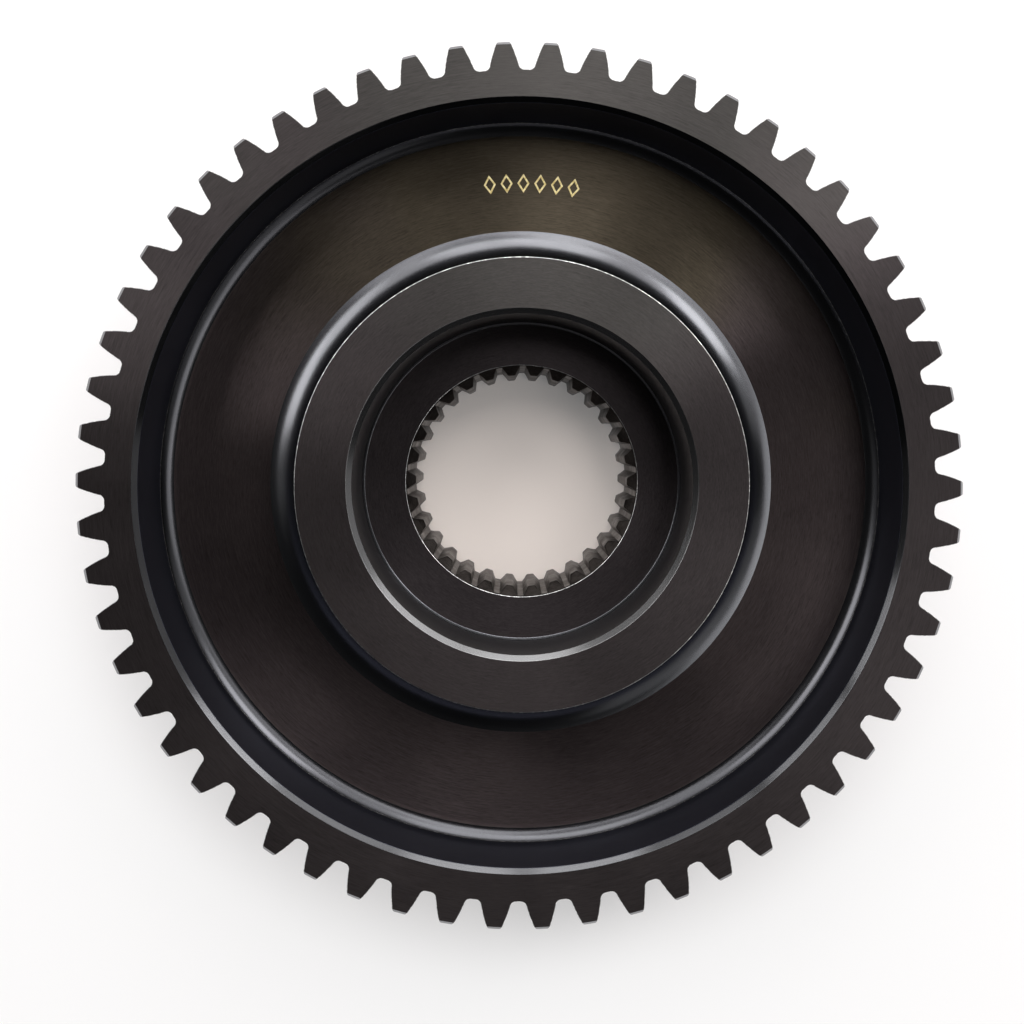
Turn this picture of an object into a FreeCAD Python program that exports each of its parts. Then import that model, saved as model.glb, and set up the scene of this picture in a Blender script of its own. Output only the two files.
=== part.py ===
# Splined spur gear, one solid of turned and hobbed steel, in millimetres.
# The axis of the gear is Z. The origin is the centre of the back face of the hub, on which the
# gear lies, and +Z points to the front, the side with the counterbore.
import FreeCAD, Part
import math
import os

# Teeth: straight stub teeth on an involute, each thinner than half of the pitch by the thinning
TOOTH_COUNT = 58
MODULE = 4.0
PRESSURE_ANGLE = 20.0
ADDENDUM = 3.2
DEDENDUM = 4.6
TOOTH_THINNING = 0.4
TOOTH_ROOT_FILLET = 1.6
TOOTH_END_CHAMFER = 1.0

# Rim and web: the web is sunk between the rim and the hub on both sides
RIM_WIDTH = 48.0
RIM_WALL = 8.6
RIM_EDGE_CHAMFER = 1.3
RIM_COVE_RADIUS = 6.4
RIM_COVE_TURN = 45.0
FRONT_RECESS_DEPTH = 22.5
WEB_THICKNESS = 12.0
BACK_CORNER = 5.0

# Hub: level with the rim at the front, standing out behind it
HUB_DIAMETER = 122.2
HUB_BACK_REACH = 10.0
HUB_FILLET = 10.9
HUB_BACK_CHAMFER = 1.0

# Counterbore in the front of the hub
COUNTERBORE_DIAMETER = 91.8
COUNTERBORE_DEPTH = 24.0
COUNTERBORE_CHAMFER = 1.4
COUNTERBORE_CORNER = 0.6

# Internal spline: straight teeth on an involute, cut right through the hub
SPLINE_COUNT = 30
SPLINE_PITCH_DIAMETER = 63.5
SPLINE_PRESSURE_ANGLE = 30.0
SPLINE_TOOTH_HEIGHT_INSIDE = 1.05
SPLINE_TOOTH_HEIGHT_OUTSIDE = 1.45
SPLINE_LEAD_IN = 0.3

# How far a toothed prism runs past the end faces, and past the tips or lands, that it cuts
END_OVERRUN = 5.0
SIDE_OVERRUN = 0.5
# The largest share of a wall or floor that a rounded or flattened corner may take
CORNER_SHARE = 0.9
# Chords that each small fillet at a tooth's foot is drawn with, which keeps the part light
FILLET_CHORDS = 3

# Sizes that follow from the driving dimensions
pitch_radius = MODULE * TOOTH_COUNT / 2
tip_radius = pitch_radius + ADDENDUM
root_radius = pitch_radius - DEDENDUM
rim_inner_radius = root_radius - RIM_WALL
hub_radius = HUB_DIAMETER / 2
hub_length = RIM_WIDTH + HUB_BACK_REACH
counterbore_radius = COUNTERBORE_DIAMETER / 2
spline_pitch_radius = SPLINE_PITCH_DIAMETER / 2
spline_minor_radius = spline_pitch_radius - SPLINE_TOOTH_HEIGHT_INSIDE
spline_major_radius = spline_pitch_radius + SPLINE_TOOTH_HEIGHT_OUTSIDE
lead_in_radius = spline_major_radius + SPLINE_LEAD_IN

# Heights of the faces above the back of the hub
rim_back = HUB_BACK_REACH
front = hub_length
web_front = front - FRONT_RECESS_DEPTH
web_back = web_front - WEB_THICKNESS
counterbore_floor = front - COUNTERBORE_DEPTH


def polar(radius, angle):
    """Point at a radius and an angle in the plane z = 0."""
    return FreeCAD.Vector(radius * math.cos(angle), radius * math.sin(angle), 0)


def involute_point(base_radius, start, roll, side):
    """Point where a string that is unwound by roll from a base circle ends.

    The flank leaves the base circle at the angle side * start and leans towards angle 0.
    """
    angle = start - roll + math.atan(roll)
    return polar(base_radius * math.hypot(1, roll), side * angle)


def roll_at(base_radius, radius):
    """Roll at which an involute reaches a radius."""
    return math.sqrt((radius / base_radius) ** 2 - 1)


class InvoluteOutline:
    """Closed outline of teeth that narrow outwards, between an inner and an outer circle.

    It is the outline of the gear itself, and that of the spaces of the internal spline.
    """

    def __init__(self, count, pitch, pressure_angle, inner, outer, fillet=0.0, thinning=0.0):
        pressure = math.radians(pressure_angle)
        self.count = count
        self.base = pitch * math.cos(pressure)
        self.start = math.pi / (2 * count) + math.tan(pressure) - pressure
        self.start -= thinning / (2 * pitch)
        self.inner = inner
        self.outer = outer
        self.fillet = fillet

    def foot(self):
        """Roll at which the flank ends, and the centre angle of the fillet at its foot.

        The centre lies one fillet radius above the inner circle, on the string that is normal to
        the flank, so the string to it is one fillet radius longer than the string to the flank.
        """
        string = math.sqrt((self.inner + self.fillet) ** 2 - self.base ** 2)
        roll = (string - self.fillet) / self.base
        centre_angle = self.start - roll + math.atan(string / self.base)
        return roll, centre_angle

    def flank(self, side):
        """Edge of one flank: the arc through three points of the involute, 0.01 mm off it at most."""
        low = self.foot()[0]
        high = roll_at(self.base, self.outer)
        rolls = [low, (low + high) / 2, high]
        points = [involute_point(self.base, self.start, roll, side) for roll in rolls]
        return Part.Arc(*points).toShape()

    def foot_fillet(self, side):
        """Edges of the rounded corner between the inner circle and a flank, 0.04 mm off at most."""
        roll, centre_angle = self.foot()
        centre = polar(self.inner + self.fillet, side * centre_angle)
        to_circle = polar(self.inner, side * centre_angle) - centre
        to_flank = involute_point(self.base, self.start, roll, side) - centre
        sweep = side * math.degrees(to_circle.getAngle(to_flank))
        points = []
        for chord in range(FILLET_CHORDS + 1):
            turn = FreeCAD.Rotation(FreeCAD.Vector(0, 0, 1), sweep * chord / FILLET_CHORDS)
            points.append(centre + turn.multVec(to_circle))
        return Part.makePolygon(points).Edges

    def tooth_edges(self):
        """Edges of one tooth about angle 0, with the short straight floor of the space after it."""
        tip_angle = self.start - roll_at(self.base, self.outer)
        tip_angle += math.atan(roll_at(self.base, self.outer))
        foot_angle = self.foot()[1]
        turn = 2 * math.pi / self.count
        tip = Part.Arc(
            polar(self.outer, -tip_angle),
            polar(self.outer, 0),
            polar(self.outer, tip_angle),
        ).toShape()
        floor = Part.makeLine(
            polar(self.inner, foot_angle),
            polar(self.inner, turn - foot_angle),
        )
        edges = [self.flank(-1), tip, self.flank(1), floor]
        if self.fillet:
            edges += self.foot_fillet(-1) + self.foot_fillet(1)
        return edges

    def prism(self, low, high):
        """Solid of the whole outline between two heights."""
        edges = []
        for tooth in range(self.count):
            for edge in self.tooth_edges():
                turned = edge.copy()
                turned.rotate(FreeCAD.Vector(), FreeCAD.Vector(0, 0, 1), 360 * tooth / self.count)
                edges.append(turned)
        wire = Part.Wire(Part.sortEdges(edges)[0])
        face = Part.Face(wire)
        face.translate(FreeCAD.Vector(0, 0, low))
        return face.extrude(FreeCAD.Vector(0, 0, high - low))


class Section:
    """Half section of a turned body, drawn run by run in the plane of X and Z."""

    def __init__(self, radius, height):
        self.start = FreeCAD.Vector(radius, 0, height)
        self.here = self.start
        self.edges = []

    def line(self, radius, height):
        """Straight run to a point."""
        end = FreeCAD.Vector(radius, 0, height)
        self.edges.append(Part.makeLine(self.here, end))
        self.here = end

    def arc(self, radius, height, centre_radius, centre_height):
        """Arc to a point about a centre, the short way round."""
        end = FreeCAD.Vector(radius, 0, height)
        centre = FreeCAD.Vector(centre_radius, 0, centre_height)
        outwards = (self.here - centre) + (end - centre)
        middle = centre + outwards.normalize() * (end - centre).Length
        self.edges.append(Part.Arc(self.here, middle, end).toShape())
        self.here = end

    def revolved(self):
        """Solid of the closed section turned once round Z."""
        self.edges.append(Part.makeLine(self.here, self.start))
        face = Part.Face(Part.Wire(self.edges))
        return face.revolve(FreeCAD.Vector(), FreeCAD.Vector(0, 0, 1), 360)


def back_of_blank(section):
    """Draw the hub's back, the sunk web behind it with flattened corners, and the rim's back."""
    recess_floor = rim_inner_radius - hub_radius
    room = min(web_back - rim_back - RIM_EDGE_CHAMFER, recess_floor / 2)
    corner = min(BACK_CORNER, CORNER_SHARE * room)
    section.line(hub_radius - HUB_BACK_CHAMFER, 0)
    section.line(hub_radius, HUB_BACK_CHAMFER)
    section.line(hub_radius, web_back - corner)
    section.line(hub_radius + corner, web_back)
    section.line(rim_inner_radius - corner, web_back)
    section.line(rim_inner_radius, web_back - corner)
    section.line(rim_inner_radius, rim_back + RIM_EDGE_CHAMFER)
    section.line(rim_inner_radius + RIM_EDGE_CHAMFER, rim_back)
    section.line(tip_radius - TOOTH_END_CHAMFER, rim_back)
    section.line(tip_radius, rim_back + TOOTH_END_CHAMFER)


def front_of_blank(section):
    """Draw the rim's front, the sunk web with its cove and its fillet, and the hub's front."""
    recess_floor = rim_inner_radius - hub_radius
    fillet = min(HUB_FILLET, CORNER_SHARE * FRONT_RECESS_DEPTH, CORNER_SHARE * recess_floor / 2)
    turn = math.radians(RIM_COVE_TURN)
    cove = min(RIM_COVE_RADIUS, CORNER_SHARE * recess_floor / 2)
    cove_end = rim_inner_radius - cove * math.sin(turn)
    section.line(tip_radius, front - TOOTH_END_CHAMFER)
    section.line(tip_radius - TOOTH_END_CHAMFER, front)
    section.line(rim_inner_radius + RIM_EDGE_CHAMFER, front)
    section.line(rim_inner_radius, front - RIM_EDGE_CHAMFER)
    section.line(rim_inner_radius, web_front + cove * (1 - math.cos(turn)))
    section.arc(cove_end, web_front, cove_end, web_front + cove)
    section.line(hub_radius + fillet, web_front)
    section.arc(hub_radius, web_front + fillet, hub_radius + fillet, web_front + fillet)
    section.line(hub_radius, front)


def bore_of_blank(section):
    """Draw the counterbore, then the plain bore with a lead-in at both ends."""
    lead_in_height = lead_in_radius - spline_minor_radius
    section.line(counterbore_radius + COUNTERBORE_CHAMFER, front)
    section.line(counterbore_radius, front - COUNTERBORE_CHAMFER)
    section.line(counterbore_radius, counterbore_floor + COUNTERBORE_CORNER)
    section.line(counterbore_radius - COUNTERBORE_CORNER, counterbore_floor)
    section.line(lead_in_radius, counterbore_floor)
    section.line(spline_minor_radius, counterbore_floor - lead_in_height)
    section.line(spline_minor_radius, lead_in_height)


def turned_blank():
    """Blank as it leaves the lathe: rim, web, hub, counterbore and a plain bore."""
    section = Section(lead_in_radius, 0)
    back_of_blank(section)
    front_of_blank(section)
    bore_of_blank(section)
    return section.revolved()


def toothed_outline():
    """Prism with the teeth of the gear, taller and wider than the blank."""
    outline = InvoluteOutline(
        TOOTH_COUNT, pitch_radius, PRESSURE_ANGLE, root_radius, tip_radius + SIDE_OVERRUN,
        TOOTH_ROOT_FILLET, TOOTH_THINNING,
    )
    return outline.prism(-END_OVERRUN, front + END_OVERRUN)


def spline_spaces():
    """Prism that cuts the spaces of the spline, from behind the hub into the counterbore."""
    outline = InvoluteOutline(
        SPLINE_COUNT, spline_pitch_radius, SPLINE_PRESSURE_ANGLE,
        spline_minor_radius - SIDE_OVERRUN, spline_major_radius,
    )
    return outline.prism(-END_OVERRUN, counterbore_floor + END_OVERRUN)


def gear():
    """The finished gear."""
    return turned_blank().common(toothed_outline()).cut(spline_spaces())


os.makedirs("parts", exist_ok=True)
solid = gear()
solid.exportStep("parts/gear.step")
print("gear volume", round(solid.Volume), "mm3, valid", solid.isValid(), "solids", len(solid.Solids))
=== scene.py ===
"""A black-oxide spur gear with a splined bore, photographed from above on a white table."""
import logging
import math
from collections.abc import Callable
from dataclasses import dataclass, field
from enum import Enum
from typing import Any, ClassVar

import bmesh
import bpy
import numpy as np
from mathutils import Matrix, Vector


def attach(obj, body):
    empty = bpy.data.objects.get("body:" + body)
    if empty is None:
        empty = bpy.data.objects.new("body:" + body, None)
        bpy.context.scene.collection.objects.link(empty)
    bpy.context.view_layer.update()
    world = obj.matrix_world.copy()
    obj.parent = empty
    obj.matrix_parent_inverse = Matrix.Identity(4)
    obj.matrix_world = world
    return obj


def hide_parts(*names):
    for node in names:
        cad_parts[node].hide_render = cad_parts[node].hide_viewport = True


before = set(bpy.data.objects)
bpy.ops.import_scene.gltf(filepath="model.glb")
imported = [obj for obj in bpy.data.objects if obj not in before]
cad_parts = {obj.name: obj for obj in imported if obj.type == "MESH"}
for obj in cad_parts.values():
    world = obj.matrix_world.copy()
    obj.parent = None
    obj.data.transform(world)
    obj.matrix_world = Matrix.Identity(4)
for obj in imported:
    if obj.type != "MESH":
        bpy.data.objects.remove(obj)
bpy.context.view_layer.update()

MM = 0.001
FULL_TURN = 2 * math.pi
Colour = tuple[float, float, float]
log = logging.getLogger("gear")


class Skin(Enum):
    """Finish of a stretch of the gear's surface; the value is the material slot.

    LIP is the rounding between web and rim, TIP the chamfer at the teeth's ends, WALL and CHAMFER the
    rim's inner wall and its mouth, and POCKET, MOUTH and SEAT the counterbore's wall, mouth and floor.
    """

    FACE = 0
    WEB = 1
    COVE = 2
    FLANK = 3
    BORE = 4
    EDGE = 5
    SEAT = 6
    LIP = 7
    TIP = 8
    WALL = 9
    CHAMFER = 10
    POCKET = 11
    MOUTH = 12


# Geometry


@dataclass(frozen=True)
class Involute:
    """Outline of teeth that narrow outwards from an inner circle, in millimetres.

    It is the outline of the gear's own teeth, and that of the spaces of the internal spline.
    """

    count: int
    pitch: float
    pressure: float
    inner: float
    fillet: float = 0.0
    thinning: float = 0.0

    @property
    def start(self) -> float:
        """Half angle at the base circle: a quarter pitch plus the pressure angle's involute."""
        pressure = math.radians(self.pressure)
        quarter = math.pi / (2 * self.count) - self.thinning / (2 * self.pitch)
        return quarter + math.tan(pressure) - pressure

    @property
    def base(self) -> float:
        """Radius of the circle that the involute unwinds from."""
        return self.pitch * math.cos(math.radians(self.pressure))

    def half_angle(self, radius: np.ndarray | float, inset: float = 0.0) -> np.ndarray:
        """Half of the tooth's angle at each radius.

        An involute leaves its base circle at an angle s and reaches radius r after a roll
        t = sqrt((r / base)^2 - 1), at the angle s - t + atan(t). An inset along the normal turns the
        whole curve by inset / base.

        Args:
            radius: Radii in millimetres.
            inset: How far the flank moves into the tooth.

        Returns:
            The angles in radians.
        """
        start = self.start - inset / self.base
        roll = np.sqrt((np.asarray(radius) / self.base) ** 2 - 1)
        return start - roll + np.arctan(roll)

    def foot(self, steps: int, inset: float = 0.0) -> tuple[np.ndarray, np.ndarray]:
        """Rounded corner from the inner circle up to the flank.

        The corner's centre lies one fillet radius above the inner circle on a string normal to the
        flank, so it stays where it is when the outline is inset and only the radius grows. The points
        are centre + radius * direction, with the direction turning evenly from straight down to the
        flank's normal.

        Args:
            steps: Number of steps along the corner.
            inset: How far the outline moves into the tooth.

        Returns:
            Radii and half angles of steps + 1 points.
        """
        string = math.sqrt((self.inner + self.fillet) ** 2 - self.base ** 2)
        roll = (string - self.fillet) / self.base
        centre_angle = self.start - roll + math.atan(string / self.base)
        centre = (self.inner + self.fillet) * np.exp(1j * centre_angle)
        contact_radius = self.base * math.hypot(1, roll)
        contact = contact_radius * np.exp(1j * (self.start - roll + math.atan(roll)))
        down = -np.exp(1j * centre_angle)
        sweep = np.angle((contact - centre) / down)
        turn = np.exp(1j * sweep * np.linspace(0, 1, steps + 1))
        points = centre + (self.fillet + inset) * down * turn
        return np.abs(points), np.angle(points)


@dataclass(frozen=True)
class ToothRing:
    """A ring of teeth given by rows from the teeth's base circle to their tips.

    radii and halves hold one radius and one half angle of solid material for each row.
    """

    count: int
    radii: np.ndarray
    halves: np.ndarray
    across: int
    between: int

    @property
    def pitch_angle(self) -> float:
        """Angle from one tooth to the next."""
        return FULL_TURN / self.count

    def tooth_angles(self) -> np.ndarray:
        """Angle of each tooth's middle."""
        return np.arange(self.count) * self.pitch_angle

    def faces(self) -> tuple[np.ndarray, np.ndarray]:
        """Grid over the end of every tooth.

        Row j runs from -half(j) to +half(j) at the radius of that row.

        Returns:
            Radii and angles, each shaped (teeth, rows, columns).
        """
        share = np.linspace(-1, 1, self.across + 1)
        angle = self.tooth_angles()[:, None, None] + self.halves[:, None] * share
        radius = np.broadcast_to(self.radii[None, :, None], angle.shape)
        return radius, angle

    def floor_angles(self) -> np.ndarray:
        """Angles of the points on the floor between the first tooth and the next one."""
        first, last = self.halves[0], self.pitch_angle - self.halves[0]
        return np.linspace(first, last, self.between + 1)[1:-1]

    def base_angles(self) -> np.ndarray:
        """Angles round the base circle: across each tooth, then over the floor up to the next one."""
        tooth = self.halves[0] * np.linspace(-1, 1, self.across + 1)
        one = np.concatenate([tooth, self.floor_angles()])
        return (self.tooth_angles()[:, None] + one).ravel()

    def outline(self) -> tuple[np.ndarray, np.ndarray]:
        """Closed outline: up one flank, over the tip, down the other flank and over the floor.

        Returns:
            Radii and angles of the points, in turning order.
        """
        tip = self.halves[-1] * np.linspace(-1, 1, self.across + 1)[1:-1]
        floor = self.floor_angles()
        angle = np.concatenate([-self.halves, tip, self.halves[::-1], floor])
        tip_radius = np.full(tip.shape, self.radii[-1])
        floor_radius = np.full(floor.shape, self.radii[0])
        radius = np.concatenate([self.radii, tip_radius, self.radii[::-1], floor_radius])
        angles = self.tooth_angles()[:, None] + angle
        return np.tile(radius, self.count), angles.ravel()


@dataclass(frozen=True)
class Corner:
    """One corner of a turned section, in millimetres, and the finish of the run after it.

    round_skin is the finish of its rounding if it isn't skin, except for the last plain_steps of its
    steps, which have skin again.
    """

    radius: float
    height: float
    skin: Skin
    rounding: float = 0.0
    steps: int = 3
    round_skin: Skin | None = None
    plain_steps: int = 0

    @property
    def support(self) -> float:
        """Length of a short run beside the rounding that keeps the long run's shading flat."""
        return min(0.03 + 0.3 * self.rounding, 0.15)


def turned_section(corners: list[Corner]) -> tuple[np.ndarray, np.ndarray, np.ndarray]:
    """Polyline of a turned section with its corners rounded.

    A corner of rounding p that turns by t starts p * tan(t / 2) before the corner, and its points are
    centre + p * direction, with the direction turning evenly. A support point lies before and after
    each rounding.

    Args:
        corners: The corners in order; the first and last are the ends.

    Returns:
        Radii, heights, and for each run between two points its material slot.
    """
    points = [np.array([corner.radius, corner.height]) for corner in corners]
    path: list[np.ndarray] = [points[0]]
    skins: list[int] = []
    for index in range(1, len(corners) - 1):
        here, corner = points[index], corners[index]
        run = corners[index - 1].skin.value
        before = (points[index - 1] - here) / np.linalg.norm(points[index - 1] - here)
        after = (points[index + 1] - here) / np.linalg.norm(points[index + 1] - here)
        if corner.rounding == 0:
            path.append(here)
            skins.append(run)
            continue
        turn = math.pi - math.acos(float(np.clip(before @ after, -1, 1)))
        reach = corner.rounding * math.tan(turn / 2)
        bisector = (before + after) / np.linalg.norm(before + after)
        centre = here + bisector * corner.rounding / math.cos(turn / 2)
        first, last = here + before * reach - centre, here + after * reach - centre
        share = np.linspace(0, 1, corner.steps + 1)[:, None]
        arc = (np.sin((1 - share) * turn) * first + np.sin(share * turn) * last) / math.sin(turn)
        path.append(here + before * (reach + corner.support))
        path.extend(centre + arc)
        path.append(here + after * (reach + corner.support))
        bend = (corner.round_skin or corner.skin).value
        skins.extend([run, run] + [bend] * (corner.steps - corner.plain_steps))
        skins.extend([corner.skin.value] * (corner.plain_steps + 1))
    path.append(points[-1])
    skins.append(corners[-2].skin.value)
    line = np.array(path)
    return line[:, 0], line[:, 1], np.array(skins)


@dataclass
class Shell:
    """Grids that are gathered and then welded into one closed mesh.

    weld is how near each other two points have to be to become one, in millimetres.
    """

    name: str
    weld: float = 0.002
    points: list[np.ndarray] = field(default_factory=list)
    quads: list[np.ndarray] = field(default_factory=list)
    quad_skins: list[np.ndarray] = field(default_factory=list)
    triangles: list[np.ndarray] = field(default_factory=list)
    triangle_skins: list[np.ndarray] = field(default_factory=list)
    size: int = 0

    def _add_points(
        self, radius: np.ndarray | float, angle: np.ndarray, height: np.ndarray | float
    ) -> int:
        """Add points in cylinder coordinates.

        Args:
            radius: Radii in millimetres.
            angle: Angles in radians.
            height: Heights in millimetres.

        Returns:
            Index of the first one.
        """
        radius, angle, height = np.broadcast_arrays(radius, angle, height)
        here = np.stack([radius * np.cos(angle), radius * np.sin(angle), height], axis=-1)
        self.points.append(here.reshape(-1, 3) * MM)
        first = self.size
        self.size += radius.size
        return first

    def grids(
        self, radius: np.ndarray, angle: np.ndarray, height: np.ndarray, skins: np.ndarray | int,
        closed: bool = False,
    ) -> None:
        """Add grids shaped (grids, rows, columns).

        Args:
            radius: Radii in millimetres.
            angle: Angles in radians.
            height: Heights in millimetres.
            skins: Material slot of each row of faces, or one for all of them.
            closed: Whether the last column joins the first.
        """
        count, rows, columns = np.broadcast(radius, angle, height).shape
        first = self._add_points(radius, angle, height)
        index = first + np.arange(count * rows * columns).reshape(count, rows, columns)
        right = np.roll(index, -1, axis=2) if closed else index[:, :, 1:]
        left = index if closed else index[:, :, :-1]
        quads = np.stack([left[:, :-1], right[:, :-1], right[:, 1:], left[:, 1:]], axis=-1)
        slots = np.broadcast_to(np.asarray(skins).reshape(1, -1, 1), quads.shape[:3])
        self.quads.append(quads.reshape(-1, 4))
        self.quad_skins.append(slots.ravel())

    def lathe(self, section: tuple[np.ndarray, np.ndarray, np.ndarray], angles: np.ndarray) -> None:
        """Turn a section round the axis, with its columns at the given angles.

        Args:
            section: Radii, heights and material slots, as turned_section gives them.
            angles: Angles of the columns, in turning order.
        """
        radius, height, skins = section
        self.grids(radius[None, :, None], angles, height[None, :, None], skins, closed=True)

    def zip_rings(
        self, radius_a: float, angles_a: np.ndarray, radius_b: float, angles_b: np.ndarray,
        height: float, skin: Skin,
    ) -> None:
        """Flat ring of triangles between two circles whose points don't match.

        Each step along either circle makes one triangle. The steps of both are sorted by the angle at
        their middle, and a running count of each circle's steps gives the triangle's corners.

        Args:
            radius_a: Radius of the first circle in millimetres.
            angles_a: Angles of its points.
            radius_b: Radius of the second circle in millimetres.
            angles_b: Angles of its points.
            height: Height of the ring in millimetres.
            skin: Finish of the ring.
        """
        first_a = self._add_points(radius_a, angles_a, height)
        first_b = self._add_points(radius_b, angles_b, height)
        middle_a = angles_a + 0.5 * np.diff(np.append(angles_a, angles_a[0] + FULL_TURN))
        middle_b = angles_b + 0.5 * np.diff(np.append(angles_b, angles_b[0] + FULL_TURN))
        on_a = np.concatenate([np.ones(len(angles_a), int), np.zeros(len(angles_b), int)])
        on_a = on_a[np.argsort(np.concatenate([middle_a, middle_b]), kind="stable")]
        step_a, step_b = np.cumsum(on_a), np.cumsum(1 - on_a)
        point_a = first_a + step_a % len(angles_a)
        point_b = first_b + step_b % len(angles_b)
        earlier = np.where(on_a, first_a + (step_a - 1) % len(angles_a),
                           first_b + (step_b - 1) % len(angles_b))
        self.triangles.append(np.stack([earlier, point_a, point_b], axis=-1))
        self.triangle_skins.append(np.full(len(on_a), skin.value))

    def build(self, finishes: list[bpy.types.Material], sharp_angle: float) -> bpy.types.Object:
        """Weld the grids and make the object.

        Args:
            finishes: Materials in the order of their slots.
            sharp_angle: Edges that turn by more than this many degrees are shaded sharp.

        Returns:
            The object, linked to the scene.
        """
        faces = [face for block in self.quads + self.triangles for face in block.tolist()]
        slots = np.concatenate(self.quad_skins + self.triangle_skins)
        mesh = bpy.data.meshes.new(self.name)
        mesh.from_pydata(np.concatenate(self.points).tolist(), [], faces)
        for finish in finishes:
            mesh.materials.append(finish)
        mesh.polygons.foreach_set("material_index", slots.astype(np.int32))
        work = bmesh.new()
        work.from_mesh(mesh)
        bmesh.ops.remove_doubles(work, verts=work.verts, dist=self.weld * MM)
        bmesh.ops.recalc_face_normals(work, faces=work.faces)
        work.to_mesh(mesh)
        work.free()
        mesh.shade_smooth()
        mesh.set_sharp_from_angle(angle=math.radians(sharp_angle))
        piece = bpy.data.objects.new(self.name, mesh)
        bpy.context.collection.objects.link(piece)
        return piece


# Shader values


class Value:
    """A number or vector that varies over a surface. Python's operators on it add Math nodes."""

    def __init__(self, nodes: "Nodes", socket: bpy.types.NodeSocket) -> None:
        """Keep the node tree and the socket."""
        self.nodes = nodes
        self.socket = socket

    def math(self, operation: str, *others: "Value | float") -> "Value":
        """Result of one Math node on this value and the others."""
        inputs = dict(enumerate((self, *others)))
        return self.nodes.node("ShaderNodeMath", {"operation": operation}, inputs)

    def after(self, operation: str, number: float) -> "Value":
        """Result of one Math node on a number and then this value."""
        return self.nodes.node("ShaderNodeMath", {"operation": operation}, {0: number, 1: self})

    def __add__(self, other: "Value | float") -> "Value":
        """Sum."""
        return self.math("ADD", other)

    def __radd__(self, other: float) -> "Value":
        """Sum with a number first."""
        return self.math("ADD", other)

    def __sub__(self, other: "Value | float") -> "Value":
        """Difference."""
        return self.math("SUBTRACT", other)

    def __rsub__(self, other: float) -> "Value":
        """Difference with a number first."""
        return self.after("SUBTRACT", other)

    def __mul__(self, other: "Value | float") -> "Value":
        """Product."""
        return self.math("MULTIPLY", other)

    def __rmul__(self, other: float) -> "Value":
        """Product with a number first."""
        return self.math("MULTIPLY", other)

    def __truediv__(self, other: "Value | float") -> "Value":
        """Quotient."""
        return self.math("DIVIDE", other)

    def __rtruediv__(self, other: float) -> "Value":
        """Quotient with a number first."""
        return self.after("DIVIDE", other)

    def step(self, low: float, high: float) -> "Value":
        """Smooth step from 0 at low to 1 at high."""
        settings = {"interpolation_type": "SMOOTHSTEP"}
        inputs = {"Value": self, "From Min": low, "From Max": high}
        return self.nodes.node("ShaderNodeMapRange", settings, inputs)


class Nodes:
    """Node tree of one material, which other nodes are added to through one method."""

    def __init__(self, name: str) -> None:
        """Start a material with only a Principled shader and an output."""
        self.material = bpy.data.materials.new(name)
        self.material.use_nodes = True
        self.tree = self.material.node_tree
        self.shader = self.tree.nodes["Principled BSDF"]

    def node(
        self, kind: str, settings: dict[str, Any], inputs: dict[str | int, Any], output: str | int = 0
    ) -> Value:
        """Add a node.

        Args:
            kind: The node's type.
            settings: Its own settings, which are set first.
            inputs: Values or links of its sockets, by name or number.
            output: Which output is wanted.

        Returns:
            The output as a value.
        """
        made = self.tree.nodes.new(kind)
        for key, value in settings.items():
            setattr(made, key, value)
        for key, value in inputs.items():
            self.feed(made.inputs[key], value)
        return Value(self, made.outputs[output])

    def feed(self, socket: bpy.types.NodeSocket, value: Any) -> None:
        """Link a value to a socket, or set the socket's own value."""
        if isinstance(value, Value):
            self.tree.links.new(value.socket, socket)
        else:
            socket.default_value = value

    def mix(self, share: Value, low: Value | Colour, high: Value | Colour) -> Value:
        """Colour between low and high by share. Sockets 6, 7 and 2 are the Mix node's colours."""
        inputs = {0: share, 6: self.opaque(low), 7: self.opaque(high)}
        return self.node("ShaderNodeMix", {"data_type": "RGBA"}, inputs, output=2)

    @staticmethod
    def opaque(colour: Value | Colour) -> Value | tuple[float, ...]:
        """Colour with the fourth number that a socket wants."""
        return colour if isinstance(colour, Value) else (*colour, 1.0)

    def noise(self, vector: Value, scale: float, detail: float = 2.0, rough: float = 0.5) -> Value:
        """Fractal noise from 0 to 1 at a place."""
        inputs = {"Vector": vector, "Scale": scale, "Detail": detail, "Roughness": rough}
        return self.node("ShaderNodeTexNoise", {}, inputs)

    def place(self) -> tuple[Value, Value, Value, Value, Value]:
        """Place on the gear.

        Returns:
            The Object coordinates, the distance from the axis in millimetres, the height in
            millimetres, and the cosine and sine of the angle round the axis.
        """
        here = self.node("ShaderNodeTexCoord", {}, {}, output="Object")
        flat = self.node("ShaderNodeVectorMath", {"operation": "MULTIPLY"}, {0: here, 1: (1, 1, 0)})
        length = self.node("ShaderNodeVectorMath", {"operation": "LENGTH"}, {0: flat}, output="Value")
        split = self.node("ShaderNodeSeparateXYZ", {}, {0: here}).socket.node
        x, y, z = (Value(self, split.outputs[axis]) for axis in "XYZ")
        never_zero = length + 0.001 * MM
        return here, length / MM, z / MM, x / never_zero, y / never_zero

    def combine(self, x: Value | float, y: Value | float, z: Value | float) -> Value:
        """Vector of three values."""
        return self.node("ShaderNodeCombineXYZ", {}, {0: x, 1: y, 2: z})

    def finish_with(self, inputs: dict[str, Any]) -> bpy.types.Material:
        """Feed the Principled shader's sockets and return the material."""
        for name, value in inputs.items():
            self.feed(self.shader.inputs[name], value)
        return self.material


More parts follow.
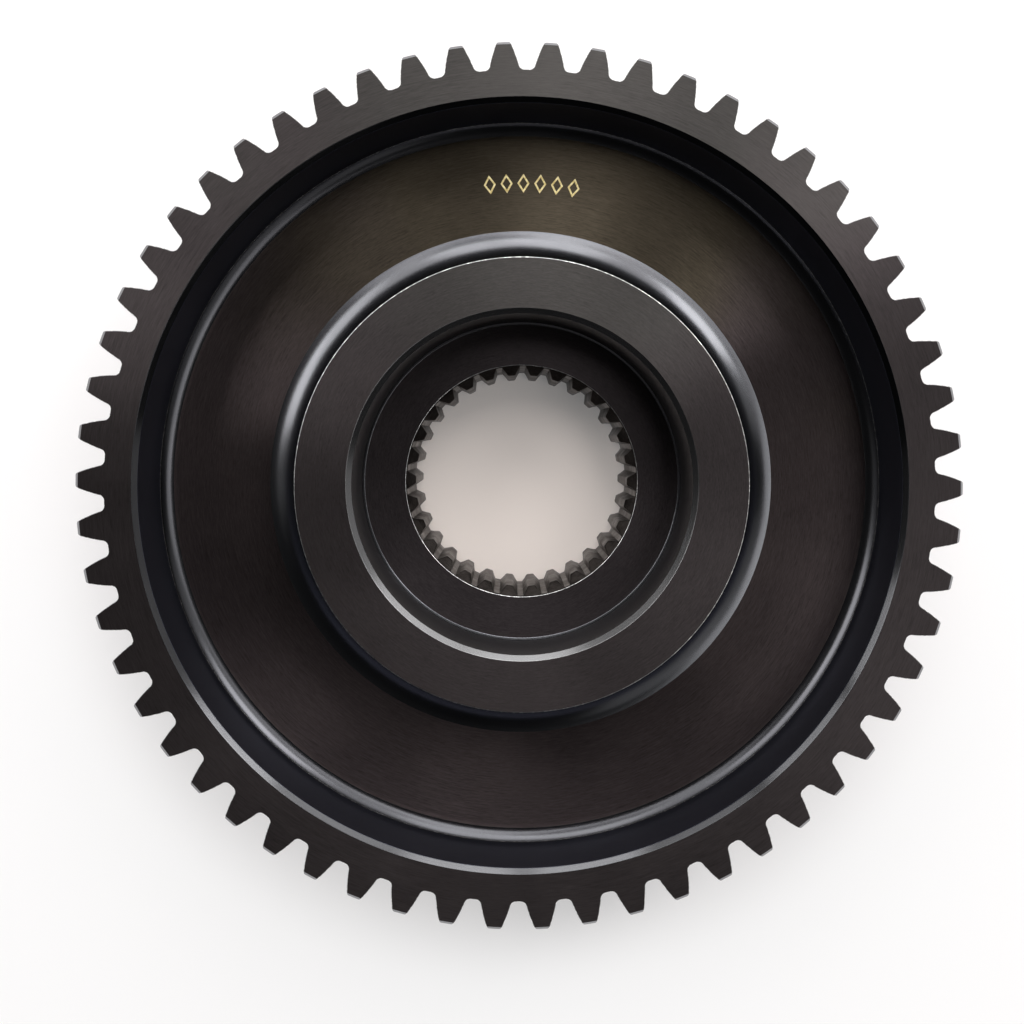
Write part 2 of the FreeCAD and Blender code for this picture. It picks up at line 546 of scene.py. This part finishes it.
@dataclass(frozen=True)
class BlackOxide:
    """Semi-gloss black-oxide coat on turned or cut steel.

    colour is the coat's, and tint is what it is multiplied by in large patches that grow towards
    the top of the gear (+Y). roughness is its mean, and spread says how far it varies. marks says how
    strongly the tool marks show, and stretch how far they draw out the highlights. patch_scale is how
    many cloudy patches fit in a metre, and wear the share of bare steel where the coat is rubbed off.
    """

    name: str
    colour: Colour
    roughness: float
    spread: float = 0.08
    marks: float = 0.3
    stretch: float = 0.0
    tint: Colour = (1.0, 1.0, 1.0)
    patch_scale: float = 28.0
    wear: float = 0.0

    MARKS_PER_MM: ClassVar[float] = 3.2
    LONG_MARKS_PER_RADIAN: ClassVar[float] = 14.0
    SHORT_MARKS_PER_RADIAN: ClassVar[float] = 45.0
    SHORT_MARKS_FINER: ClassVar[float] = 1.6
    PATCH_CONTRAST: ClassVar[float] = 0.6
    TONE_CONTRAST: ClassVar[float] = 0.9
    DARKEST: ClassVar[float] = 0.5
    LIGHTEST: ClassVar[float] = 1.5
    TOP_TINT_PATCHES_PER_M: ClassVar[float] = 11.0
    TOP_TINT_GROWTH: ClassVar[float] = 0.3
    TOP_TINT_EDGE: ClassVar[tuple[float, float]] = (0.55, 0.88)
    NICKS_PER_M: ClassVar[float] = 900.0
    NICK_EDGE: ClassVar[tuple[float, float]] = (0.49, 0.60)
    BARE_STEEL: ClassVar[Colour] = (0.95, 0.94, 0.92)
    MARK_DEPTH: ClassVar[float] = 0.02 * MM
    MARK_STRENGTH: ClassVar[float] = 0.35
    ALONG_THE_MARKS: ClassVar[float] = 0.25

    def coat(self, nodes: Nodes, share: Value, tint: Colour) -> Value:
        """Coat of one tint, from its darkest to its lightest by share."""
        middle = np.array(self.colour) * tint
        return nodes.mix(share, tuple(middle * self.DARKEST), tuple(middle * self.LIGHTEST))

    def material(self) -> bpy.types.Material:
        """Make the material.

        The tool marks are noise on (cosine, sine, radius + height) of the place, fine across the
        marks and drawn out round the axis, so they have no seam. Their tone and that of the patches
        lightens and darkens the coat about its colour.

        Returns:
            The material.
        """
        nodes = Nodes(self.name)
        here, radius, height, cosine, sine = nodes.place()
        across = (radius + height) * self.MARKS_PER_MM
        turn, finer_turn = self.LONG_MARKS_PER_RADIAN, self.SHORT_MARKS_PER_RADIAN
        long_way = nodes.combine(cosine * turn, sine * turn, across)
        short_way = nodes.combine(
            cosine * finer_turn, sine * finer_turn, across * self.SHORT_MARKS_FINER
        )
        marks = nodes.noise(long_way, 1.0, detail=4.0, rough=0.6)
        fine = nodes.noise(short_way, 1.0, detail=3.0, rough=0.6)
        patches = nodes.noise(here, self.patch_scale, detail=3.0, rough=0.55)
        tone = (marks + fine - 1.0) * self.marks + (patches - 0.5) * self.PATCH_CONTRAST
        share = (tone * self.TONE_CONTRAST + 0.5).math("MAXIMUM", 0.0).math("MINIMUM", 1.0)
        # Large patches, more of them towards the top of the gear (+Y), take the tinted coat.
        wide = nodes.noise(here, self.TOP_TINT_PATCHES_PER_M) + sine * self.TOP_TINT_GROWTH
        plain_coat, tinted_coat = self.coat(nodes, share, (1.0, 1.0, 1.0)), self.coat(nodes, share, self.tint)
        colour = nodes.mix(wide.step(*self.TOP_TINT_EDGE), plain_coat, tinted_coat)
        if self.wear > 0:
            nicks = nodes.noise(here, self.NICKS_PER_M, detail=3.0, rough=0.65)
            colour = nodes.mix(nicks.step(*self.NICK_EDGE) * self.wear, colour, self.BARE_STEEL)
        bump = nodes.node("ShaderNodeBump", {}, {
            "Strength": self.MARK_STRENGTH,
            "Distance": self.MARK_DEPTH * self.marks,
            "Height": marks + fine,
        })
        return nodes.finish_with({
            "Base Color": colour,
            "Roughness": (marks + patches - 1.0) * self.spread + self.roughness,
            "Metallic": 1.0,
            "Anisotropic": self.stretch,
            "Anisotropic Rotation": self.ALONG_THE_MARKS,
            "Normal": bump,
        })


@dataclass(frozen=True)
class GoldFill:
    """Gold lacquer in the shallow marks on the web, between a thin dark and a full pale gold."""

    name: str = "gold_fill"
    dark: Colour = (0.42, 0.32, 0.11)
    pale: Colour = (0.70, 0.60, 0.32)
    patch_scale: float = 900.0
    roughness: float = 0.35
    spread: float = 0.25
    metallic: float = 0.4
    patch_edge: tuple[float, float] = (0.35, 0.65)

    def material(self) -> bpy.types.Material:
        """Make the material.

        Returns:
            The material.
        """
        nodes = Nodes(self.name)
        patches = nodes.noise(nodes.place()[0], self.patch_scale, detail=3.0, rough=0.6)
        return nodes.finish_with({
            "Base Color": nodes.mix(patches.step(*self.patch_edge), self.dark, self.pale),
            "Roughness": patches * self.spread + self.roughness,
            "Metallic": self.metallic,
        })


@dataclass(frozen=True)
class WhiteTable:
    """White table that keeps the gear's soft shadow, a little darker and warmer under the bore.

    Seen by the camera or in a reflection, it is white by itself in the share seen_white, by less
    under the bore, which is painted shade, and by more beyond the shadow, which is painted light that
    fades out the shadow's far end, and the rest is lit. Its warmer colour under the bore is painted
    warm reflected light. under and beyond are radii in millimetres between which the one fades out
    and the other sets in.
    """

    name: str = "white_table"
    colour: Colour = (0.93, 0.885, 0.88)
    # The warmer colour under the bore is painted reflected light, the smaller white share there is
    # painted shade, and the larger one beyond the shadow is painted light.
    painted_warm_light_under: Colour = (0.96, 0.835, 0.76)
    under: tuple[float, float] = (40.0, 105.0)
    beyond: tuple[float, float] = (135.0, 165.0)
    seen_white: float = 0.45
    painted_shade_under: float = 0.31
    painted_light_beyond: float = 0.28
    roughness: float = 0.8
    specular: float = 0.1

    def material(self) -> bpy.types.Material:
        """Make the material: a lit shader mixed with a white one that only some rays see.

        Returns:
            The material.
        """
        nodes = Nodes(self.name)
        away = nodes.place()[1]
        under, beyond = 1 - away.step(*self.under), away.step(*self.beyond)
        nodes.finish_with({
            # Under the bore the colour turns warmer: painted warm reflected light.
            "Base Color": nodes.mix(under, self.colour, self.painted_warm_light_under),
            "Roughness": self.roughness,
            "Specular IOR Level": self.specular,
        })
        rays = nodes.node("ShaderNodeLightPath", {}, {}).socket.node.outputs
        seen = Value(nodes, rays["Is Camera Ray"])
        for kind in ("Is Glossy Ray", "Is Transmission Ray"):
            seen = seen.math("MAXIMUM", Value(nodes, rays[kind]))
        # Less white under the bore is painted shade; more white beyond the shadow is painted light.
        share = seen * (self.seen_white - under * self.painted_shade_under + beyond * self.painted_light_beyond)
        white = nodes.node("ShaderNodeEmission", {}, {"Color": (1, 1, 1, 1), "Strength": 1.0})
        lit = Value(nodes, nodes.shader.outputs[0])
        blend = nodes.node("ShaderNodeMixShader", {}, {0: share, 1: lit, 2: white})
        nodes.feed(nodes.tree.nodes["Material Output"].inputs["Surface"], blend)
        return nodes.material


FINISHES: dict[Skin, BlackOxide] = {
    Skin.FACE: BlackOxide(
        "rim_and_hub_face", (0.0455, 0.0388, 0.0392), 0.42, marks=0.8, stretch=0.8,
        tint=(1.0, 1.09, 1.03),
    ),
    Skin.WEB: BlackOxide(
        "turned_web", (0.0475, 0.0378, 0.0376), 0.36, spread=0.04, marks=1.1, stretch=1.0,
        tint=(1.02, 1.05, 0.76),
    ),
    Skin.COVE: BlackOxide(
        "polished_cove", (0.102, 0.103, 0.110), 0.22, spread=0.03, marks=0.1, stretch=0.2
    ),
    Skin.FLANK: BlackOxide("cut_flank", (0.042, 0.039, 0.040), 0.36),
    Skin.BORE: BlackOxide(
        "broached_bore", (0.042, 0.036, 0.033), 0.42, spread=0.50, marks=1.8, patch_scale=150.0
    ),
    Skin.EDGE: BlackOxide("rubbed_edge", (0.42, 0.42, 0.42), 0.30, marks=1.2, wear=0.9),
    Skin.SEAT: BlackOxide(
        "counterbore_floor", (0.0290, 0.0247, 0.0256), 0.46, marks=1.0, stretch=0.8
    ),
    Skin.LIP: BlackOxide(
        "polished_lip", (0.062, 0.062, 0.067), 0.20, spread=0.03, marks=0.2, stretch=0.2
    ),
    Skin.TIP: BlackOxide("bare_tooth_chamfer", (0.26, 0.26, 0.27), 0.34, spread=0.06),
    Skin.WALL: BlackOxide("turned_wall", (0.068, 0.070, 0.092), 0.46, spread=0.06, marks=0.4),
    Skin.CHAMFER: BlackOxide("turned_chamfer", (0.062, 0.062, 0.065), 0.14, spread=0.03),
    Skin.POCKET: BlackOxide(
        "counterbore_wall", (0.120, 0.115, 0.119), 0.42, spread=0.06, marks=0.8
    ),
    Skin.MOUTH: BlackOxide(
        "bare_counterbore_mouth", (0.200, 0.198, 0.200), 0.26, spread=0.03, marks=0.2
    ),
}


# Sub-assemblies


@dataclass
class SplinedGear:
    """The gear itself: teeth, rim, sunk web, counterbored hub and splined bore, in millimetres.

    bevel is how far the edges of teeth and splines are broken, and each other break is a small
    rounding. The seams are circles in flat faces where the columns of one part meet those of the
    next. The steps and rows say how finely the roundings and flanks are divided.
    """

    tooth_count: int = 58
    module: float = 4.0
    pressure: float = 20.0
    addendum: float = 3.2
    dedendum: float = 4.6
    root_fillet: float = 1.6
    thinning: float = 0.4
    end_chamfer: float = 1.0
    rim_width: float = 48.0
    rim_wall: float = 8.6
    rim_chamfer: float = 1.3
    recess_depth: float = 22.5
    web_thickness: float = 12.0
    lip_height: float = 1.87
    lip_rounding: float = 6.1
    back_corner: float = 5.0
    back_rounding: float = 4.0
    hub_radius: float = 61.1
    hub_back_reach: float = 10.0
    hub_fillet: float = 10.9
    hub_back_chamfer: float = 1.0
    counterbore_radius: float = 45.9
    counterbore_depth: float = 24.0
    counterbore_chamfer: float = 1.4
    counterbore_corner: float = 0.6
    spline_count: int = 30
    spline_pitch: float = 31.75
    spline_minor: float = 30.7
    spline_major: float = 33.2
    spline_pressure: float = 30.0
    lead_in: float = 33.5
    bevel: float = 0.14
    tip_break: float = 0.18
    spline_tip_break: float = 0.32
    chamfer_break: float = 0.2
    wall_break: float = 0.3
    hub_break: float = 0.22
    floor_break: float = 0.25
    mouth_break: float = 0.15
    foot_steps: int = 8
    flank_rows: int = 8
    spline_rows: int = 6
    lip_steps: int = 14
    cove_steps: int = 26
    back_steps: int = 8
    tooth_columns: int = 8
    floor_columns: int = 3
    spline_columns: int = 6
    space_columns: int = 4
    turned_columns: int = 290
    rim_seam_inset: float = 1.5
    spline_seam: float = 34.8
    hub_seam: float = 36.0

    @property
    def front(self) -> float:
        """Height of the front faces of the rim and hub."""
        return self.rim_width + self.hub_back_reach

    @property
    def web_front(self) -> float:
        """Height of the sunk web's front."""
        return self.front - self.recess_depth

    @property
    def web_back(self) -> float:
        """Height of the sunk web's back."""
        return self.web_front - self.web_thickness

    @property
    def seat(self) -> float:
        """Height of the counterbore's floor."""
        return self.front - self.counterbore_depth

    @property
    def pitch_radius(self) -> float:
        """Radius of the teeth's pitch circle."""
        return self.module * self.tooth_count / 2

    @property
    def tip_radius(self) -> float:
        """Radius of the tooth tips."""
        return self.pitch_radius + self.addendum

    @property
    def chamfer_radius(self) -> float:
        """Radius from which the teeth's ends are chamfered."""
        return self.tip_radius - self.end_chamfer

    @property
    def root_radius(self) -> float:
        """Radius of the tooth spaces' floors."""
        return self.pitch_radius - self.dedendum

    @property
    def rim_seam(self) -> float:
        """Radius of the seam between the turned faces and the toothed rim."""
        return self.root_radius - self.rim_seam_inset

    @property
    def rim_inner(self) -> float:
        """Radius of the rim's inner wall."""
        return self.root_radius - self.rim_wall

    def teeth(self, inset: float) -> ToothRing:
        """Teeth of the rim, moved into the solid by inset.

        Args:
            inset: How far the outline lies inside the full one.

        Returns:
            The ring, with rows up the root fillet, up the flank and at the tip.
        """
        shape = Involute(
            self.tooth_count, self.pitch_radius, self.pressure, self.root_radius, self.root_fillet,
            self.thinning,
        )
        tip = self.tip_radius - inset
        foot_radii, foot_halves = shape.foot(self.foot_steps, inset)
        low = np.linspace(foot_radii[-1], self.chamfer_radius, self.flank_rows)[1:]
        high = np.linspace(self.chamfer_radius, tip - self.tip_break, 3)[1:]
        flank = np.concatenate([low, high])
        tip_half = shape.half_angle(tip, inset) - self.tip_break / tip
        return ToothRing(
            self.tooth_count,
            np.concatenate([foot_radii, flank, [tip]]),
            np.concatenate([foot_halves, shape.half_angle(flank, inset), [tip_half]]),
            self.tooth_columns, self.floor_columns,
        )

    def splines(self, inset: float) -> ToothRing:
        """Teeth of the bore, which point inwards, moved into the solid by inset.

        The involute is that of the spaces, so a tooth's half angle is half a pitch less the space's.

        Args:
            inset: How far the outline lies inside the full one.

        Returns:
            The ring, with rows from the root in to the tip.
        """
        space = Involute(
            self.spline_count, self.spline_pitch, self.spline_pressure, self.spline_minor
        )
        root, tip = self.spline_major + inset, self.spline_minor + inset
        corner, knee = self.spline_tip_break, 0.3 * self.spline_tip_break
        flank = np.linspace(root, tip + corner, self.spline_rows)
        radii = np.concatenate([flank, [tip + knee, tip]])
        halves = math.pi / self.spline_count - space.half_angle(radii, -inset)
        halves[-2:] -= np.array([knee, corner]) / tip
        return ToothRing(self.spline_count, radii, halves, self.spline_columns, self.space_columns)

    def tooth_end(self, radius: np.ndarray, side: int) -> np.ndarray:
        """Height of the teeth's end on the front (1) or back (-1): flat, then a 45 degree chamfer."""
        half = self.rim_width / 2 - np.maximum(0, radius - self.chamfer_radius)
        return self.front - self.rim_width / 2 + side * half

    def spline_end(self, radius: np.ndarray, side: int) -> np.ndarray:
        """Height of the splines' end on the front (1) or back (-1): a 45 degree lead-in."""
        mouth = self.seat if side > 0 else 0.0
        return mouth - side * np.maximum(0, self.lead_in - radius)

    def add_flanks(
        self, shell: Shell, rings: tuple[ToothRing, ToothRing],
        end: Callable[[np.ndarray, int], np.ndarray], skins: np.ndarray | int,
    ) -> None:
        """Add the flanks of a ring of teeth.

        They run from the inset outline at the front end to the full outline just below it, and so on
        at the back, with a row near each end that keeps the flanks' shading flat.

        Args:
            shell: The shell that gathers the grids.
            rings: The teeth moved in by the bevel, and the full teeth.
            end: Height of an end at each radius, for the front (1) or the back (-1).
            skins: Material slot of each row of faces, or one for all of them.
        """
        (inset_radius, inset_angle), (full_radius, full_angle) = (ring.outline() for ring in rings)
        share = np.array([0.0, 0.05, 0.95, 1.0])[:, None]
        walls = (end(full_radius, 1) - self.bevel) * (1 - share)
        walls = walls + (end(full_radius, -1) + self.bevel) * share
        radius = np.stack([inset_radius, *[full_radius] * len(share), inset_radius])
        angle = np.stack([inset_angle, *[full_angle] * len(share), inset_angle])
        height = np.stack([end(inset_radius, 1), *walls, end(inset_radius, -1)])
        shell.grids(radius[None], angle[None], height[None], skins, closed=True)

    def add_teeth(self, shell: Shell) -> None:
        """Add the tooth ends and the flanks, with rubbed edges between them.

        Args:
            shell: The shell that gathers the grids.
        """
        rings = self.teeth(self.bevel), self.teeth(0.0)
        radius, angle = rings[0].faces()
        chamfered = rings[0].radii[:-1] >= self.chamfer_radius
        skins = np.where(chamfered, Skin.TIP.value, Skin.FACE.value)
        for side in (1, -1):
            shell.grids(radius, angle, self.tooth_end(radius, side), skins)
        edge, flank = Skin.EDGE.value, Skin.FLANK.value
        self.add_flanks(shell, rings, self.tooth_end, np.array([edge, flank, flank, flank, edge]))

    def turned_angles(self) -> np.ndarray:
        """Angles of the turned faces' columns, from where the first tooth begins."""
        first = self.teeth(self.bevel).base_angles()[0]
        return first + np.arange(self.turned_columns) * FULL_TURN / self.turned_columns

    def front_section(self) -> list[Corner]:
        """Front of the turned body, from the rim's seam in to the seam in the counterbore's floor."""
        inner, hub, bore = self.rim_inner, self.hub_radius, self.counterbore_radius
        web, lip, foot = self.web_front, self.lip_height, self.counterbore_corner
        return [
            Corner(self.rim_seam, self.front, Skin.FACE),
            Corner(inner + self.rim_chamfer, self.front, Skin.CHAMFER, self.chamfer_break),
            Corner(inner, self.front - self.rim_chamfer, Skin.WALL, self.wall_break),
            Corner(inner, web + lip, Skin.LIP, self.chamfer_break, round_skin=Skin.EDGE),
            Corner(inner - lip, web, Skin.WEB, self.lip_rounding, self.lip_steps, Skin.LIP, 3),
            Corner(hub, web, Skin.COVE, self.hub_fillet, self.cove_steps),
            Corner(hub, self.front, Skin.FACE, self.hub_break, round_skin=Skin.EDGE),
            Corner(bore + self.counterbore_chamfer, self.front, Skin.MOUTH, self.mouth_break),
            Corner(bore, self.front - self.counterbore_chamfer, Skin.POCKET, self.chamfer_break),
            Corner(bore, self.seat + foot, Skin.COVE, self.floor_break),
            Corner(bore - foot, self.seat, Skin.SEAT, self.floor_break, round_skin=Skin.COVE),
            Corner(self.hub_seam, self.seat, Skin.SEAT),
        ]

    def back_section(self) -> list[Corner]:
        """Back of the turned body, from the seam in the hub's back face out to the rim's seam."""
        inner, hub, back = self.rim_inner, self.hub_radius, self.hub_back_reach
        web, corner = self.web_back, self.back_corner
        rounding, steps = self.back_rounding, self.back_steps
        return [
            Corner(self.hub_seam, 0.0, Skin.FACE),
            Corner(hub - self.hub_back_chamfer, 0.0, Skin.EDGE, self.chamfer_break),
            Corner(hub, self.hub_back_chamfer, Skin.COVE, self.chamfer_break),
            Corner(hub, web - corner, Skin.COVE, rounding, steps),
            Corner(hub + corner, web, Skin.WEB, rounding, steps, Skin.COVE),
            Corner(inner - corner, web, Skin.COVE, rounding, steps),
            Corner(inner, web - corner, Skin.COVE, rounding, steps),
            Corner(inner, back + self.rim_chamfer, Skin.EDGE, self.wall_break),
            Corner(inner + self.rim_chamfer, back, Skin.FACE, self.chamfer_break),
            Corner(self.rim_seam, back, Skin.FACE),
        ]

    def add_turned(self, shell: Shell) -> None:
        """Add the turned faces and join them to the finer columns of the toothed rim.

        Args:
            shell: The shell that gathers the grids.
        """
        angles, finer = self.turned_angles(), self.teeth(self.bevel).base_angles()
        shell.lathe(turned_section(self.front_section()), angles)
        shell.lathe(turned_section(self.back_section()), angles)
        base = self.root_radius - self.bevel
        for height in (self.front, self.hub_back_reach):
            shell.zip_rings(self.rim_seam, angles, base, finer, height, Skin.FACE)

    def add_bore(self, shell: Shell) -> None:
        """Add the splined bore with its lead-ins, and join it to the columns of the turned faces.

        Args:
            shell: The shell that gathers the grids.
        """
        rings = self.splines(self.bevel), self.splines(0.0)
        ring, outer = rings[0].base_angles(), self.turned_angles()
        radius, angle = rings[0].faces()
        base = rings[0].radii[0]
        for mouth, side, skin in ((self.seat, 1, Skin.SEAT), (0.0, -1, Skin.FACE)):
            shell.grids(radius, angle, self.spline_end(radius, side), Skin.BORE.value)
            lip = [
                Corner(base, self.spline_end(base, side), Skin.BORE),
                Corner(self.lead_in, mouth, skin, self.mouth_break, round_skin=Skin.EDGE),
                Corner(self.spline_seam, mouth, skin),
            ]
            shell.lathe(turned_section(lip), ring)
            shell.zip_rings(self.spline_seam, ring, self.hub_seam, outer, mouth, skin)
        self.add_flanks(shell, rings, self.spline_end, Skin.BORE.value)

    def build(self) -> bpy.types.Object:
        """Returns:
            The finished piece.
        """
        shell = Shell("gear_body")
        self.add_teeth(shell)
        self.add_turned(shell)
        self.add_bore(shell)
        piece = shell.build([FINISHES[skin].material() for skin in Skin], sharp_angle=24.0)
        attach(piece, "root")
        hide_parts("gear")
        return piece


@dataclass
class WebMarks:
    """A row of small plain diamonds, outlined in gold, on the web near the rim, in millimetres.

    height is that of the web's front. The outlines stand proud of it and reach under it.
    """

    height: float
    radius: float = 85.85
    pitch: float = 4.85
    count: int = 6
    middle: float = 2.0
    half_width: float = 1.75
    half_height: float = 2.75
    stroke: float = 0.60
    proud: float = 0.03
    under: float = 0.2

    def build(self) -> bpy.types.Object:
        """Each outline lies between two diamonds with the same middle. A diamond's corners are at
        (a cos t, b sin t) for quarter turns t, and b : a is the same for both. The row follows a
        circle about the gear's axis.

        Returns:
            The finished piece.
        """
        turn = np.arange(4) * FULL_TURN / 4
        inner = 1 - self.stroke / self.half_width
        size = np.array([inner, 1.0, 1.0, inner])[:, None]
        lift = np.array([self.proud, self.proud, -self.under, -self.under])[:, None]
        x = size * self.half_width * np.cos(turn)
        y = size * self.half_height * np.sin(turn)
        step = (np.arange(self.count) - (self.count - 1) / 2) * self.pitch + self.middle
        lean = -step[:, None, None] / self.radius
        place = (x + 1j * (y + self.radius)) * np.exp(1j * lean)
        rows = [0, 1, 2, 3, 0]
        place, height = place[:, rows], (self.height + lift)[rows]
        shell = Shell("web_marks")
        shell.grids(np.abs(place), np.angle(place), height, 0, closed=True)
        piece = shell.build([GoldFill().material()], sharp_angle=30.0)
        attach(piece, "root")
        return piece


@dataclass(frozen=True)
class LampRing:
    """Soft boxes side by side on a ring about the gear's axis.

    off_axis is the ring's angle from the axis in degrees, and each box takes span degrees of the
    ring. boxes holds the azimuth in degrees and the strength of each, height its size in metres
    across the ring, and distance how far it stands from the origin.
    """

    name: str
    off_axis: float
    height: float
    span: float
    boxes: tuple[tuple[int, float], ...]
    distance: float = 1.0

    def build(self) -> None:
        """Place the lamps. A lamp's radiance is its strength: power = strength * pi * area."""
        flat, up = math.sin(math.radians(self.off_axis)), math.cos(math.radians(self.off_axis))
        width = math.radians(self.span) * flat * self.distance
        for azimuth, strength in self.boxes:
            lamp = bpy.data.lights.new(f"{self.name}_{azimuth}", "AREA")
            lamp.shape = "RECTANGLE"
            lamp.size = width
            lamp.size_y = self.height
            lamp.energy = strength * math.pi * width * self.height
            turn = math.radians(azimuth)
            out = Vector((flat * math.cos(turn), flat * math.sin(turn), up))
            piece = bpy.data.objects.new(lamp.name, lamp)
            bpy.context.collection.objects.link(piece)
            piece.location = out * self.distance
            piece.rotation_mode = "QUATERNION"
            piece.rotation_quaternion = out.to_track_quat("Z", "Y")


@dataclass
class Studio:
    """White table, soft lamps and the camera, in metres and degrees.

    centre_pixel is the pixel of the photo that lies on the lens axis.
    """

    table_half: float = 6.0
    table_height: float = -0.05 * MM
    sensor: float = 36.0
    focal_pixels: float = 1120.6
    frame_pixels: float = 1024.0
    eye: tuple[float, float, float] = (-0.0037, 0.0122, 0.358)
    tilt: tuple[float, float, float] = (0.48, -1.17, 0.59)
    centre_pixel: tuple[float, float] = (532.3, 429.2)
    dim_light: tuple[float, float, float, float] = (0.95, 0.97, 1.0, 1.0)
    dim_strength: float = 0.02
    rings: tuple[LampRing, ...] = (
        LampRing("overhead", 24, 0.38, 20, (
            (0, 1.9), (20, 0.9), (40, 2.3), (60, 2.2), (80, 5.8), (100, 0.6), (120, 3.2),
            (320, 1.9), (340, 2.4),
        )),
        LampRing("slanting", 50, 0.54, 20, (
            (20, 0.5), (40, 8.0), (60, 1.8), (80, 5.2), (100, 4.2), (120, 2.2), (140, 4.1),
            (160, 5.0), (180, 0.2), (300, 0.4), (320, 0.5), (340, 0.3),
        )),
        LampRing("grazing", 72, 0.40, 40, ((10, 0.6), (50, 2.1), (90, 2.4), (130, 0.4))),
    )

    def table(self) -> None:
        """Lay the table a hair below the hub's back face."""
        half, low = self.table_half, self.table_height
        corners = [(-half, -half, low), (half, -half, low), (half, half, low), (-half, half, low)]
        mesh = bpy.data.meshes.new("table")
        mesh.from_pydata(corners, [], [(0, 1, 2, 3)])
        mesh.materials.append(WhiteTable().material())
        piece = bpy.data.objects.new("table", mesh)
        bpy.context.collection.objects.link(piece)

    def camera(self) -> None:
        """Place the camera above the gear, nearly on its axis, with +Y up in the frame.

        A small shift of the lens brings centre_pixel to its place in the frame.
        """
        lens = bpy.data.cameras.new("camera")
        lens.sensor_width = self.sensor
        lens.lens = self.sensor * self.focal_pixels / self.frame_pixels
        lens.clip_start = 0.01
        lens.shift_x = 0.5 - self.centre_pixel[0] / self.frame_pixels
        lens.shift_y = self.centre_pixel[1] / self.frame_pixels - 0.5
        piece = bpy.data.objects.new("camera", lens)
        bpy.context.collection.objects.link(piece)
        piece.location = self.eye
        piece.rotation_euler = [math.radians(turn) for turn in self.tilt]
        bpy.context.scene.camera = piece

    def world(self) -> None:
        """Add dim even light from all round."""
        world = bpy.data.worlds.new("studio")
        world.use_nodes = True
        inputs = world.node_tree.nodes["Background"].inputs
        inputs["Color"].default_value = self.dim_light
        inputs["Strength"].default_value = self.dim_strength
        bpy.context.scene.world = world

    def build(self) -> None:
        """Set up the studio."""
        self.table()
        for ring in self.rings:
            ring.build()
        self.world()
        self.camera()
        bpy.context.scene.view_settings.view_transform = "Standard"


def main() -> None:
    """Build the pieces in order and report each."""
    logging.basicConfig(level=logging.INFO, format="%(message)s")
    gear = SplinedGear()
    for piece in (gear.build(), WebMarks(gear.web_front).build()):
        piece.data.calc_loop_triangles()
        log.info("%s: %d triangles", piece.name, len(piece.data.loop_triangles))
    Studio().build()


if __name__ == "__main__":
    main()
